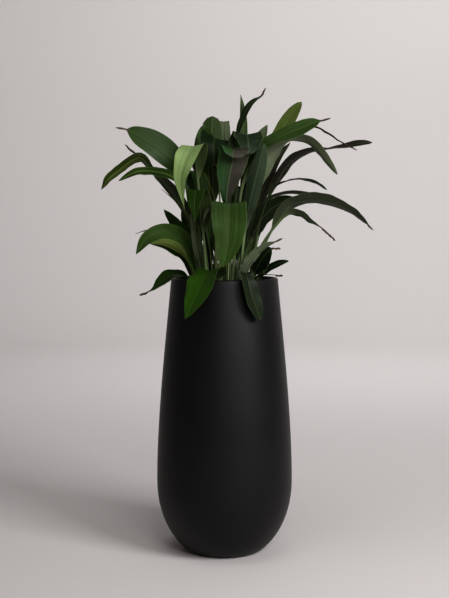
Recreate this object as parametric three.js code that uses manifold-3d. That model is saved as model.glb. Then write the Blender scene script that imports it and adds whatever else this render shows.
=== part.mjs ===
// A potted cast iron plant: a tall planter that tapers to its rim over a rounded foot, filled with
// soil, and strap-like leaves that each stand on a stalk of their own and arch outwards.
// Millimetres, +Z up. The origin is the centre of the planter's flat base, and -Y is the front.
import * as THREE from "three";
import { mergeVertices } from "three/addons/utils/BufferGeometryUtils.js";
import Module from "manifold-3d";

const wasm = await Module();
wasm.setup();

// Planter
const PLANTER_HEIGHT = 800;
const FOOT_RADIUS = 107;
const BELLY_RADIUS = 198.5;
const BELLY_HEIGHT = 205;
const RIM_RADIUS = 155.5;
const WALL = 12;
const FOOT_BEND = [140, 17]; // where the curve from the foot heads
const BELLY_BEND_BELOW = 118; // how far under the belly the wall is still upright
const BELLY_BEND_ABOVE = 190;
const RIM_BEND = [168.5, 650]; // where the taper comes from, below the rim
const LOWER_WALL_STEPS = 6;
const UPPER_WALL_STEPS = 5;
const LIP_STEPS = 4;
const ROUND_SIDES = 36;

// Soil
const SOIL_LEVEL = 755; // at the planter's wall
const SOIL_MOUND = 8; // how much higher it lies in the middle
const SOIL_STEPS = 3;
const GAP = 0.3; // between the soil and what it touches

// Leaves
const ROOT_DEPTH = 34; // how far a stalk stands in the soil
const STALK_HALF_WIDTH = 3.1;
const STALK_THICKNESS = 6;
const BLADE_THICKNESS = 1.3; // at the midrib
const EDGE_THICKNESS = 0.8;
const TIP_HALF_WIDTH = 0.8;
const WHIP_HALF_WIDTH = 3; // a dried tip, narrow as a whip
const LANCE = [0.42, 1.15]; // where a blade is widest, and how sharply it narrows from there
const STALK_FOLD = 35; // degrees that each half of the channelled stalk is folded up
const BLADE_FOLD = 7;
const FLARE = 0.3; // share of the blade over which the stalk opens out into it
const DISH = 1.3; // how a cross-section's rise grows towards its edges: 1 is a plain fold
const THINNING = 2; // how quickly it thins from the midrib to its edges
const WAVE_HEIGHT = 0.06; // of the half width, along the blade's edges
const WAVES = 2.5; // from the blade's base to its tip
const WAVE_LAG = 1.7; // radians between the waves of the two edges
const SOCKET_RADIUS = 6.1;
const SOCKET_SIDES = 6;
const SOCKET_LENGTH = 1.5; // of its depth, so that it comes out above the soil
const WIDE_BLADE = 44; // a blade this wide has two facets on each side of its midrib
const WIDE_ACROSS = [-1, -0.5, 0, 0.5, 1];
const NARROW_ACROSS = [-1, 0, 1];
const STALK_STEPS = 2;
const SECTION_LENGTH = 36; // of a blade, between two of its cross-sections
const FEWEST_BLADE_STEPS = 6;

const UP = new THREE.Vector3(0, 0, 1);
const radians = THREE.MathUtils.degToRad;
const mix = THREE.MathUtils.lerp;

const finishes = {
  planter: new THREE.MeshStandardMaterial({ color: 0x17181a, roughness: 0.55, metalness: 0 }),
  soil: new THREE.MeshStandardMaterial({ color: 0x2a1f17, roughness: 0.95, metalness: 0 }),
  leaf: new THREE.MeshStandardMaterial({ color: 0x2c4d24, roughness: 0.4, metalness: 0 }),
};

// ---------------------------------------------------------------------------------------------
// The leaves, by the side of the plant that they grow to. Each has the foot of its stalk on the
// soil [x, y], the route of its midrib from there to its tip [x, y, z], the blade's full width,
// the share of the leaf that is stalk, and the blade's roll about its midrib from its base to its
// tip in degrees, evenly spaced. Some say where along the blade it is widest and how sharply it
// narrows from there, and which share of the blade is a dried tip, narrow as a whip.
// ---------------------------------------------------------------------------------------------
const LEAVES = {
  front: [
    { foot: [8, -118],
      route: [[12, -122, 880], [13, -130, 964], [12, -146, 1003], [12, -164, 1011], [13, -178, 983],
        [13, -190, 928], [6, -196, 878], [-6, -198, 837]],
      width: 98, stalk: 0.45, roll: [0, 3, 0], shape: [0.4, 0.8] },
    { foot: [-40, -50],
      route: [[-62, -66, 940], [-78, -88, 1110], [-84, -125, 1170], [-100, -162, 1145],
        [-112, -180, 1112], [-119, -184, 1079], [-116, -184, 1041], [-109, -180, 994]],
      width: 76, stalk: 0.5, roll: [0, 0], shape: [0.4, 1.5] },
    { foot: [-22, -92],
      route: [[-26, -108, 800], [-34, -134, 826], [-48, -162, 818], [-68, -180, 778], [-90, -184, 733],
        [-110, -180, 692]],
      width: 110, stalk: 0.12, roll: [-14, -2, 10], shape: [0.44, 1.15] },
    { foot: [54, -98],
      route: [[58, -122, 800], [60, -145, 819], [64, -160, 802], [74, -165, 762], [87, -163, 725],
        [99, -158, 692]],
      width: 51, stalk: 0.2, roll: [0, 0], shape: [0.6, 0.5] },
    { foot: [-6, -26],
      route: [[-12, -35, 900], [-16, -42, 1060], [-24, -52, 1150], [-28, -72, 1197], [-30, -90, 1178],
        [-28, -96, 1118]],
      width: 86, stalk: 0.66, roll: [0, 15, 30, 0], shape: [0.5, 0.45] },
    { foot: [14, -4],
      route: [[26, -8, 950], [42, -14, 1110], [55, -28, 1187], [62, -62, 1208], [66, -96, 1188],
        [66, -112, 1148]],
      width: 88, stalk: 0.6, roll: [0, 0], shape: [0.6, 0.5] },
    { foot: [-48, -84],
      route: [[-56, -92, 870], [-66, -106, 980], [-74, -122, 1040], [-78, -144, 1048],
        [-82, -160, 1010], [-80, -164, 960]],
      width: 68, stalk: 0.42, roll: [0, 0] },
    { foot: [-10, -72],
      route: [[-16, -86, 860], [-24, -106, 950], [-36, -128, 998], [-50, -140, 988], [-60, -145, 958]],
      width: 26, stalk: 0.4, roll: [0, 20] },
    { foot: [90, -32],
      route: [[100, -46, 806], [107, -59, 846], [109, -70, 858], [111, -77, 838], [111, -79, 815]],
      width: 36, stalk: 0.36, roll: [0, 0], shape: [0.5, 0.7] },
  ],
  left: [
    { foot: [-54, 2],
      route: [[-78, 0, 950], [-110, -10, 1078], [-148, -25, 1138], [-194, -40, 1179], [-236, -50, 1202],
        [-274, -55, 1221], [-308, -58, 1227]],
      width: 79, stalk: 0.42, roll: [45, 75, 85], shape: [0.63, 0.6], whip: 0.1 },
    { foot: [-66, 34],
      route: [[-84, 38, 920], [-125, 38, 1005], [-164, 34, 1048], [-198, 30, 1088], [-223, 27, 1124],
        [-242, 24, 1146], [-264, 21, 1141], [-300, 17, 1115], [-335, 12, 1086], [-357, 8, 1055]],
      width: 58, stalk: 0.48, roll: [15, 30, 35], shape: [0.66, 0.8] },
    { foot: [-50, -32],
      route: [[-72, -50, 930], [-105, -67, 1050], [-148, -80, 1088], [-195, -90, 1101],
        [-238, -95, 1102], [-268, -97, 1091], [-296, -98, 1075]],
      width: 56, stalk: 0.4, roll: [20, 32, 32], shape: [0.5, 0.7] },
    { foot: [-40, 40],
      route: [[-64, 64, 870], [-99, 74, 950], [-133, 80, 1027], [-172, 84, 1074], [-202, 84, 1104],
        [-254, 84, 1155], [-296, 84, 1190]],
      width: 46, stalk: 0.35, roll: [-50, -40], shape: [0.35, 0.8], whip: 0.15 },
    { foot: [-76, 7],
      route: [[-88, 5, 880], [-108, -2, 960], [-140, -12, 1018], [-182, -12, 1056]],
      width: 20, stalk: 0.45, roll: [0, 0] },
    { foot: [-64, -48],
      route: [[-86, -60, 847], [-115, -74, 908], [-148, -88, 930], [-184, -100, 931], [-219, -106, 912],
        [-248, -108, 871]],
      width: 68, stalk: 0.06, roll: [62, 42, 50], shape: [0.5, 0.85] },
    { foot: [-86, -12],
      route: [[-98, -14, 836], [-118, -17, 870], [-147, -21, 889], [-180, -25, 900], [-214, -28, 899]],
      width: 64, stalk: 0.22, roll: [50, 42], shape: [0.5, 0.8] },
    { foot: [-53, 22],
      route: [[-67, 23, 850], [-92, 22, 897], [-122, 22, 931], [-150, 23, 963], [-177, 25, 997]],
      width: 47, stalk: 0.38, roll: [40, 50], shape: [0.5, 0.8] },
    { foot: [-36, 66],
      route: [[-50, 76, 842], [-78, 92, 885], [-106, 100, 917], [-134, 106, 946], [-160, 108, 976]],
      width: 40, stalk: 0.35, roll: [40, 50], shape: [0.5, 0.8] },
    { foot: [-90, -34],
      route: [[-106, -44, 793], [-128, -54, 812], [-157, -63, 808], [-182, -68, 790], [-201, -70, 772],
        [-220, -70, 761], [-243, -70, 754]],
      width: 58, stalk: 0.12, roll: [12, 28, 28], whip: 0.15 },
    { foot: [-30, -8],
      route: [[-44, -11, 900], [-60, -12, 1040], [-67, -13, 1140], [-66, -13, 1195], [-57, -14, 1240]],
      width: 46, stalk: 0.15, roll: [90, 88], shape: [0.75, 0.5] },
    { foot: [-68, -74],
      route: [[-70, -80, 830], [-80, -86, 900], [-90, -90, 950], [-95, -92, 984]],
      width: 24, stalk: 0.3, roll: [-80, -90] },
    { foot: [-86, 32],
      route: [[-112, 34, 842], [-146, 30, 904], [-187, 24, 929], [-226, 18, 936], [-260, 14, 927]],
      width: 38, stalk: 0.15, roll: [10, 10] },
  ],
  right: [
    { foot: [62, -24],
      route: [[90, -31, 832], [110, -35, 884], [133, -39, 932], [160, -43, 980], [191, -46, 1011],
        [222, -49, 1021], [269, -52, 1024], [340, -56, 1003], [390, -58, 969], [424, -60, 939]],
      width: 74, stalk: 0.36, roll: [45, 22, 18], shape: [0.55, 0.6], whip: 0.06 },
    { foot: [72, -52],
      route: [[85, -45, 850], [115, -56, 908], [150, -69, 955], [182, -76, 985], [208, -80, 985],
        [236, -83, 967], [278, -86, 941], [313, -88, 909]],
      width: 30, stalk: 0.58, roll: [45, 30], shape: [0.35, 0.9], whip: 0.3 },
    { foot: [46, 18],
      route: [[64, 23, 870], [98, 29, 954], [136, 27, 999], [174, 20, 1021], [208, 16, 1030]],
      width: 74, stalk: 0.4, roll: [50, 45], shape: [0.45, 0.7] },
    { foot: [58, 54],
      route: [[82, 62, 900], [121, 67, 1005], [152, 64, 1076], [193, 57, 1136], [243, 50, 1166],
        [303, 44, 1174], [354, 40, 1182], [400, 37, 1191], [431, 34, 1192]],
      width: 56, stalk: 0.42, roll: [60, 35, -5, -50], shape: [0.55, 0.6] },
    { foot: [36, -12],
      route: [[58, -16, 930], [84, -21, 1052], [108, -26, 1110], [128, -29, 1143], [150, -32, 1168],
        [186, -36, 1192], [218, -38, 1199], [246, -40, 1188], [270, -42, 1163], [292, -44, 1135],
        [321, -46, 1096]],
      width: 60, stalk: 0.42, roll: [75, 60, 8, 35, 45], shape: [0.35, 0.6] },
    { foot: [20, -34],
      route: [[34, -50, 930], [55, -58, 1080], [85, -64, 1150], [125, -70, 1184], [168, -74, 1204],
        [212, -76, 1221], [260, -78, 1241], [298, -79, 1252]],
      width: 74, stalk: 0.48, roll: [-30, -44], shape: [0.72, 0.5], whip: 0.1 },
    { foot: [34, 32],
      route: [[56, 34, 930], [90, 33, 1080], [128, 28, 1160], [176, 20, 1211], [226, 14, 1236],
        [262, 9, 1238], [303, 5, 1216], [343, 2, 1190], [383, 0, 1168]],
      width: 38, stalk: 0.42, roll: [-10, -10], whip: 0.42 },
    { foot: [18, 58],
      route: [[38, 76, 930], [70, 86, 1080], [118, 92, 1160], [158, 94, 1209], [182, 93, 1249],
        [204, 90, 1284], [228, 86, 1316]],
      width: 50, stalk: 0.45, roll: [-50, -62], shape: [0.7, 0.6] },
    { foot: [68, 0],
      route: [[90, -10, 900], [113, -16, 1000], [140, -18, 1057], [175, -18, 1077], [215, -16, 1084],
        [260, -14, 1074], [295, -12, 1053]],
      width: 38, stalk: 0.4, roll: [65, 10, -10, -25], shape: [0.72, 0.5] },
    { foot: [38, -94],
      route: [[50, -100, 812], [78, -108, 862], [112, -113, 893], [142, -116, 906], [162, -118, 916]],
      width: 32, stalk: 0.06, roll: [60, 40], shape: [0.44, 0.7], whip: 0.1 },
    { foot: [64, -62],
      route: [[88, -82, 822], [110, -92, 862], [132, -96, 885], [158, -96, 886]],
      width: 60, stalk: 0.3, roll: [-78, -70], shape: [0.55, 0.7], whip: 0.2 },
    { foot: [94, -12],
      route: [[108, -22, 808], [134, -36, 831], [158, -44, 843], [184, -48, 850]],
      width: 30, stalk: 0.22, roll: [-50, -50], shape: [0.5, 0.7] },
    { foot: [76, -78],
      route: [[86, -90, 801], [108, -98, 812], [136, -100, 813], [165, -98, 810]],
      width: 26, stalk: 0.15, roll: [10, 0], whip: 0.2 },
    { foot: [28, 4],
      route: [[43, 0, 890], [69, -6, 1020], [88, -8, 1100], [98, -9, 1148]],
      width: 54, stalk: 0.2, roll: [78, 85], shape: [0.5, 1] },
    { foot: [48, 82],
      route: [[70, 92, 900], [100, 98, 1010], [123, 98, 1076], [141, 96, 1120], [166, 92, 1163],
        [196, 88, 1196]],
      width: 46, stalk: 0.35, roll: [62, 62], shape: [0.45, 0.8] },
    { foot: [84, 44],
      route: [[95, 56, 900], [110, 57, 985], [133, 46, 1028], [174, 38, 1044], [225, 30, 1044],
        [285, 23, 1034], [335, 17, 1006]],
      width: 34, stalk: 0.47, roll: [15, 20] },
  ],
  top: [
    { foot: [4, 76],
      route: [[22, 78, 950], [44, 78, 1120], [56, 78, 1222], [56, 76, 1278], [48, 74, 1336]],
      width: 30, stalk: 0.4, roll: [60, 60], shape: [0.64, 1] },
    { foot: [-10, 42],
      route: [[12, 46, 950], [30, 48, 1120], [41, 48, 1230], [53, 46, 1262], [66, 45, 1291],
        [78, 44, 1307], [90, 43, 1317], [107, 42, 1327], [121, 40, 1351]],
      width: 22, stalk: 0.6, roll: [-60, -60], shape: [0.7, 0.9], whip: 0.12 },
    { foot: [4, -92],
      route: [[6, -95, 900], [4, -99, 1010], [14, -105, 1090], [24, -110, 1135], [28, -126, 1160],
        [25, -143, 1155], [22, -153, 1137]],
      width: 90, stalk: 0.5, roll: [0, 5], shape: [0.74, 0.45] },
    { foot: [-26, 16],
      route: [[-28, 12, 900], [-32, 6, 1040], [-38, 2, 1130], [-39, 0, 1190], [-37, 2, 1232],
        [-34, 8, 1266]],
      width: 70, stalk: 0.5, roll: [-45, -40], shape: [0.62, 0.38] },
    { foot: [18, -58],
      route: [[20, -48, 900], [17, -34, 1040], [-5, -28, 1125], [-26, -26, 1180], [-46, -24, 1218],
        [-63, -23, 1244]],
      width: 32, stalk: 0.45, roll: [85, 85] },
    { foot: [0, 26],
      route: [[1, 27, 900], [0, 27, 1050], [0, 26, 1150], [-3, 28, 1215], [-2, 46, 1252],
        [-1, 80, 1251], [-1, 112, 1222]],
      width: 36, stalk: 0.45, roll: [0, 0], shape: [0.6, 0.7] },
    { foot: [17, 10],
      route: [[16, 8, 900], [16, 6, 1050], [16, 6, 1160], [15, 6, 1241]],
      width: 22, stalk: 0.5, roll: [90, 90] },
    { foot: [24, 92],
      route: [[44, 106, 950], [68, 112, 1090], [90, 114, 1168], [108, 112, 1213], [128, 110, 1251]],
      width: 50, stalk: 0.45, roll: [-80, -80], shape: [0.6, 0.8] },
    { foot: [44, -66],
      route: [[53, -84, 900], [71, -98, 1020], [90, -108, 1100], [102, -112, 1148], [109, -110, 1180]],
      width: 54, stalk: 0.4, roll: [88, 88], shape: [0.6, 0.6] },
    { foot: [-22, -50],
      route: [[-24, -64, 900], [-28, -80, 1000], [-38, -96, 1052], [-60, -108, 1104]],
      width: 26, stalk: 0.4, roll: [40, 40] },
  ],
  back: [
    { foot: [-20, 90],
      route: [[-46, 108, 930], [-66, 134, 1060], [-84, 172, 1116], [-96, 215, 1095], [-104, 245, 1030],
        [-106, 256, 960]],
      width: 72, stalk: 0.2, roll: [0, 0] },
    { foot: [30, 108],
      route: [[38, 137, 930], [52, 165, 1030], [62, 208, 1070], [70, 250, 1040], [76, 275, 980],
        [78, 282, 915]],
      width: 90, stalk: 0.4, roll: [0, 0] },
    { foot: [-54, 84],
      route: [[-68, 108, 880], [-82, 138, 965], [-98, 176, 1000], [-112, 210, 975], [-120, 230, 915]],
      width: 72, stalk: 0.38, roll: [0, 5] },
    { foot: [64, 98],
      route: [[70, 120, 870], [80, 146, 950], [92, 174, 984], [104, 202, 960], [106, 218, 905]],
      width: 68, stalk: 0.2, roll: [0, -5] },
    { foot: [4, 114],
      route: [[2, 140, 850], [-2, 180, 910], [-6, 225, 920], [-8, 262, 876], [-8, 280, 812]],
      width: 84, stalk: 0.32, roll: [0, 0] },
    { foot: [-84, 58],
      route: [[-94, 84, 835], [-100, 120, 876], [-104, 160, 880], [-108, 192, 846], [-110, 214, 795]],
      width: 64, stalk: 0.32, roll: [0, 0] },
    { foot: [94, 44],
      route: [[104, 70, 828], [112, 106, 864], [116, 148, 867], [114, 182, 838], [110, 200, 792]],
      width: 50, stalk: 0.32, roll: [0, 0] },
    { foot: [-20, 114],
      route: [[-30, 136, 812], [-44, 168, 832], [-58, 202, 814], [-68, 222, 766], [-72, 230, 715]],
      width: 70, stalk: 0.15, roll: [0, 0] },
    { foot: [-44, 62],
      route: [[-47, 64, 830], [-50, 66, 900], [-53, 66, 962]],
      width: 32, stalk: 0.12, roll: [90, 90], shape: [0.5, 0.8] },
  ],
};

// ---------------------------------------------------------------------------------------------
// Joining and cutting closed meshes
// ---------------------------------------------------------------------------------------------
function toSolid(geometry) {
  const bare = geometry.clone();
  bare.deleteAttribute("normal");
  bare.deleteAttribute("uv");
  const merged = mergeVertices(bare, 1e-4);
  return new wasm.Manifold(
    new wasm.Mesh({
      numProp: 3,
      vertProperties: merged.attributes.position.array,
      triVerts: new Uint32Array(merged.index.array),
    }),
  );
}

function toGeometry(solid) {
  const mesh = solid.getMesh();
  const geometry = new THREE.BufferGeometry();
  geometry.setAttribute("position", new THREE.BufferAttribute(mesh.vertProperties, 3));
  geometry.setIndex(new THREE.BufferAttribute(mesh.triVerts, 1));
  geometry.computeVertexNormals();
  return geometry;
}

// A turned shape stands along Y in three.js, and along Z here.
function turned(profile) {
  return new THREE.LatheGeometry(profile, ROUND_SIDES).rotateX(Math.PI / 2);
}

// ---------------------------------------------------------------------------------------------
// Planter and soil
// ---------------------------------------------------------------------------------------------
const outsideCurves = [
  new THREE.CubicBezierCurve(
    new THREE.Vector2(FOOT_RADIUS, 0),
    new THREE.Vector2(...FOOT_BEND),
    new THREE.Vector2(BELLY_RADIUS, BELLY_HEIGHT - BELLY_BEND_BELOW),
    new THREE.Vector2(BELLY_RADIUS, BELLY_HEIGHT),
  ),
  new THREE.CubicBezierCurve(
    new THREE.Vector2(BELLY_RADIUS, BELLY_HEIGHT),
    new THREE.Vector2(BELLY_RADIUS, BELLY_HEIGHT + BELLY_BEND_ABOVE),
    new THREE.Vector2(...RIM_BEND),
    new THREE.Vector2(RIM_RADIUS, PLANTER_HEIGHT - WALL / 2),
  ),
];

// The wall's outline moved inwards by inset, from the foot to the rim.
function wallOutline(inset) {
  const steps = [LOWER_WALL_STEPS, UPPER_WALL_STEPS];
  const outline = [];
  outsideCurves.forEach((curve, half) => {
    for (let i = half; i <= steps[half]; i++) {
      const at = curve.getPoint(i / steps[half]);
      const along = curve.getTangent(i / steps[half]);
      outline.push(new THREE.Vector2(at.x - along.y * inset, at.y + along.x * inset));
    }
  });
  return outline;
}

function makePlanter() {
  const lip = [];
  for (let i = 1; i < LIP_STEPS; i++) {
    const turn = (Math.PI * i) / LIP_STEPS;
    const reach = (WALL / 2) * Math.cos(turn);
    const rise = (WALL / 2) * Math.sin(turn);
    lip.push(new THREE.Vector2(RIM_RADIUS - WALL / 2 + reach, PLANTER_HEIGHT - WALL / 2 + rise));
  }
  const inside = wallOutline(WALL).reverse();
  const innerFloor = new THREE.Vector2(0, inside[inside.length - 1].y);
  const centre = new THREE.Vector2(0, 0);
  return turned([centre, ...wallOutline(0), ...lip, ...inside, innerFloor]);
}

function soilHeight(x, y) {
  const share = Math.hypot(x, y) / (RIM_RADIUS - WALL);
  return SOIL_LEVEL + SOIL_MOUND * (1 - share * share);
}

function makeSoilBody() {
  const wall = wallOutline(WALL + GAP);
  const below = wall.filter((p) => p.y < SOIL_LEVEL);
  const last = below[below.length - 1];
  const next = wall[below.length];
  const edge = mix(last.x, next.x, (SOIL_LEVEL - last.y) / (next.y - last.y));
  const mound = [];
  for (let i = 0; i <= SOIL_STEPS; i++) {
    const radius = edge * (1 - i / SOIL_STEPS);
    mound.push(new THREE.Vector2(radius, i ? soilHeight(radius, 0) : SOIL_LEVEL));
  }
  return turned([new THREE.Vector2(0, below[0].y), ...below, ...mound]);
}

// ---------------------------------------------------------------------------------------------
// Leaves
// ---------------------------------------------------------------------------------------------
function midribOf(leaf) {
  const foot = new THREE.Vector3(...leaf.foot, soilHeight(...leaf.foot));
  const route = leaf.route.map((point) => new THREE.Vector3(...point));
  return new THREE.CatmullRomCurve3([foot, ...route], false, "centripetal");
}

// How wide the blade is at share s of its length, of its half width: a lance, drawn out to the tip.
function bladeShape(s, widest, sharpness) {
  const fullness = (widest * sharpness) / (1 - widest);
  return (s / widest) ** fullness * ((1 - s) / (1 - widest)) ** sharpness;
}

// The value at share s of the way through evenly spaced values.
function between(values, s) {
  const at = s * (values.length - 1);
  const before = Math.min(Math.floor(at), values.length - 2);
  return mix(values[before], values[before + 1], at - before);
}

// The cross-sections of a leaf, each a closed ring of points: its top from edge to edge, and its
// underside back.
function leafRings(leaf) {
  const midrib = midribOf(leaf);
  const length = midrib.getLength();
  const outward = midrib.points.at(-1).clone().sub(midrib.points[0]).setZ(0).normalize();
  const level = UP.clone().cross(outward);
  const across = leaf.width >= WIDE_BLADE ? WIDE_ACROSS : NARROW_ACROSS;
  const bladeLength = length * (1 - leaf.stalk);
  const bladeSteps = Math.max(FEWEST_BLADE_STEPS, Math.round(bladeLength / SECTION_LENGTH));
  const whip = leaf.whip ?? 0;
  const shape = leaf.shape ?? LANCE;

  function ring(share, dip) {
    const along = midrib.getTangentAt(share);
    const at = midrib.getPointAt(share).addScaledVector(along, -dip);
    const s = Math.max(0, (share - leaf.stalk) / (1 - leaf.stalk));
    const s0 = Math.min(1, s / (1 - whip));
    const flare = THREE.MathUtils.smoothstep(s, 0, FLARE);
    const thinnest = whip && s < 1 ? WHIP_HALF_WIDTH : TIP_HALF_WIDTH;
    const narrowest = mix(STALK_HALF_WIDTH, thinnest, flare);
    const half = Math.max(narrowest, (leaf.width / 2) * bladeShape(s0, ...shape));
    const fold = radians(mix(STALK_FOLD, BLADE_FOLD, flare));
    const thick = mix(STALK_THICKNESS, BLADE_THICKNESS, flare);
    const lift = half * Math.sin(fold);
    const middle = (thick - lift * (1 - flare)) / 2;
    const roll = radians(between(leaf.roll, s));
    const side = level.clone().addScaledVector(along, -level.dot(along)).normalize();
    const face = along.clone().cross(side);
    const rolledSide = side.clone().multiplyScalar(Math.cos(roll)).addScaledVector(face, -Math.sin(roll));
    const rolledFace = face.clone().multiplyScalar(Math.cos(roll)).addScaledVector(side, Math.sin(roll));

    const place = (v, under) => {
      const ripple = Math.sin(2 * Math.PI * WAVES * s + (v > 0 ? WAVE_LAG : 0)) * v * v;
      const wave = half * WAVE_HEIGHT * ripple * Math.sin(Math.PI * Math.min(1, s));
      const rise = middle + lift * Math.abs(v) ** DISH + wave;
      const depth = mix(EDGE_THICKNESS, thick, (1 - v * v) ** THINNING);
      return at
        .clone()
        .addScaledVector(rolledSide, v * half * Math.cos(fold))
        .addScaledVector(rolledFace, rise - (under ? depth : 0));
    };
    return [...across.map((v) => place(v, false)), ...[...across].reverse().map((v) => place(v, true))];
  }

  const rings = [ring(0, ROOT_DEPTH)];
  for (let i = 0; i < STALK_STEPS; i++) rings.push(ring((leaf.stalk * i) / STALK_STEPS, 0));
  for (let i = 0; i <= bladeSteps; i++) rings.push(ring(mix(leaf.stalk, 1, i / bladeSteps), 0));
  return rings;
}

function makeLeaf(leaf) {
  const rings = leafRings(leaf);
  const size = rings[0].length;
  const top = size / 2;
  const triangles = [];
  for (let i = 0; i + 1 < rings.length; i++) {
    for (let j = 0; j < size; j++) {
      const a = i * size + j;
      const b = i * size + ((j + 1) % size);
      const onTop = j < top - 1;
      if (onTop) triangles.push(a, b + size, b, a, a + size, b + size);
      else triangles.push(a, a + size, b, a + size, b + size, b);
    }
  }
  const last = (rings.length - 1) * size;
  for (let j = 0; j < top - 1; j++) {
    const [a, b, c, d] = [j, j + 1, size - 2 - j, size - 1 - j];
    triangles.push(a, b, c, a, c, d);
    triangles.push(last + a, last + c, last + b, last + a, last + d, last + c);
  }
  const geometry = new THREE.BufferGeometry();
  const positions = rings.flat().flatMap((point) => point.toArray());
  geometry.setAttribute("position", new THREE.Float32BufferAttribute(positions, 3));
  geometry.setIndex(triangles);
  geometry.computeVertexNormals();
  return geometry;
}

// The plain hole that a stalk stands in.
function makeSocket(leaf) {
  const midrib = midribOf(leaf);
  const along = midrib.getTangentAt(0);
  const depth = ROOT_DEPTH + GAP;
  const height = depth * SOCKET_LENGTH;
  const socket = new THREE.CylinderGeometry(SOCKET_RADIUS, SOCKET_RADIUS, height, SOCKET_SIDES);
  const middle = midrib.points[0].clone().addScaledVector(along, height / 2 - depth);
  return socket
    .applyQuaternion(new THREE.Quaternion().setFromUnitVectors(new THREE.Vector3(0, 1, 0), along))
    .translate(...middle.toArray());
}

// ---------------------------------------------------------------------------------------------
// The plant
// ---------------------------------------------------------------------------------------------
const plant = new THREE.Group();

function add(name, geometry, material) {
  const mesh = new THREE.Mesh(geometry, material);
  mesh.name = name;
  plant.add(mesh);
}

let soil = toSolid(makeSoilBody());
for (const [side, leaves] of Object.entries(LEAVES)) {
  leaves.forEach((leaf, i) => {
    soil = soil.subtract(toSolid(makeSocket(leaf)));
    add(`leaf_${side}_${i + 1}`, makeLeaf(leaf), finishes.leaf);
  });
}
add("planter", makePlanter(), finishes.planter);
add("soil", toGeometry(soil), finishes.soil);

export default plant;
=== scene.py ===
"""A potted cast iron plant: a tall matt black planter filled with soil, and the strap-like leaves
that stand in it, each on a stalk of its own.

Blender works in metres, with +Z up and -Y towards the front. The sizes and tables here are in
millimetres, as a maker would measure them, unless they say otherwise.
"""

import math
import random
from types import SimpleNamespace

import bmesh
import bpy
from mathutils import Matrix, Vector


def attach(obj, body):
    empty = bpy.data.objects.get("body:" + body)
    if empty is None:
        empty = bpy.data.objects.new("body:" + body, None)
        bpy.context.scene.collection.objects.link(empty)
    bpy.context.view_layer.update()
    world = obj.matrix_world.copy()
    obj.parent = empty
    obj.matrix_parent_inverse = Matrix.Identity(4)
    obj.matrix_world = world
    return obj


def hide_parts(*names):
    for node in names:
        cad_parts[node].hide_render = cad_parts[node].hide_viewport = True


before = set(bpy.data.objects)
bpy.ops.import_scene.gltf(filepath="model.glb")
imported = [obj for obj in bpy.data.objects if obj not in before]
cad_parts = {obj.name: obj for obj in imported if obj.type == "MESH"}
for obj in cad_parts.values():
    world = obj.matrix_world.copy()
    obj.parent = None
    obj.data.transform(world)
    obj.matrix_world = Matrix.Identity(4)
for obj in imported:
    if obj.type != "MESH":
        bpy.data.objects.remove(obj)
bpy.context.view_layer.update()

MM = 0.001
UP = Vector((0, 0, 1))

# --------------------
# Sizes, the same as the solids'
# --------------------
# Planter
PLANTER_HEIGHT = 800
FOOT_RADIUS = 107
BELLY_RADIUS = 198.5
BELLY_HEIGHT = 205
RIM_RADIUS = 155.5
WALL = 12
FOOT_BEND = (140, 17)  # where the curve from the foot heads
BELLY_BEND_BELOW = 118  # how far under the belly the wall is still upright
BELLY_BEND_ABOVE = 190
RIM_BEND = (168.5, 650)  # where the taper comes from, below the rim

# Soil
SOIL_LEVEL = 755  # at the planter's wall
SOIL_MOUND = 8  # how much higher it lies in the middle
SOIL_GAP = 0.3  # between the soil and the wall

# Leaves
ROOT_DEPTH = 34  # how far a stalk stands in the soil
STALK_HALF_WIDTH = 3.1
STALK_THICKNESS = 6
BLADE_THICKNESS = 1.3  # at the midrib
EDGE_THICKNESS = 0.8
TIP_HALF_WIDTH = 0.8
WHIP_HALF_WIDTH = 3  # a dried tip, narrow as a whip
LANCE = (0.42, 1.15)  # where a blade is widest, and how sharply it narrows from there
STALK_FOLD = 35  # degrees that each half of the channelled stalk is folded up
BLADE_FOLD = 7
FLARE = 0.3  # share of the blade over which the stalk opens out into it
DISH = 1.3  # how a cross-section's rise grows towards its edges: 1 is a plain fold
THINNING = 2  # how quickly it thins from the midrib to its edges
WAVE_HEIGHT = 0.06  # of the half width, along the blade's edges
WAVES = 2.5  # from the blade's base to its tip
WAVE_LAG = 1.7  # radians between the waves of the two edges

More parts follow.
